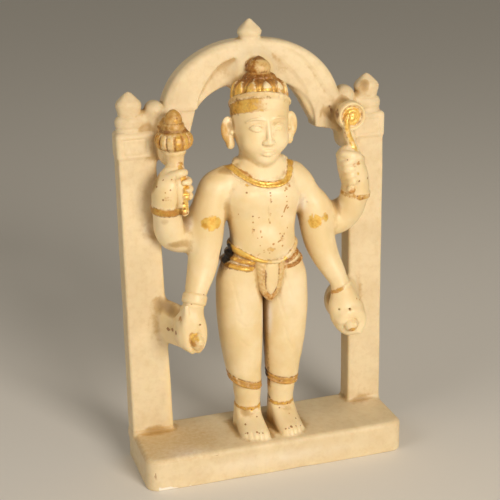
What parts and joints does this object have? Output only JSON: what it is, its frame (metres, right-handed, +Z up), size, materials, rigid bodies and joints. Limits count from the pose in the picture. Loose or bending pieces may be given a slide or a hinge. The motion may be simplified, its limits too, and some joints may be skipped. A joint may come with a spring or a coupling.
{
  "type": "standing deity figure in an arched frame",
  "caption": "Standing crowned deity with raised and lowered arms, holding a mace and a disc, carved in one with its plinth, side pillars and arch as a free-standing shrine figure.",
  "frame": {"origin": "middle of the plinth's underside, on the surface that it stands on", "axes": "+X to the viewer's right, +Y to the back, +Z up; the figure looks to -Y"},
  "size_m": [0.2464, 0.078, 0.4],
  "materials": {
    "marble": "semi-polished cream marble, honey-toned with age, with worn gilding and brown stain in its recesses"
  },
  "bodies": {
    "root": {"carved_figure_and_frame": "marble"}
  },
  "joints": []
}
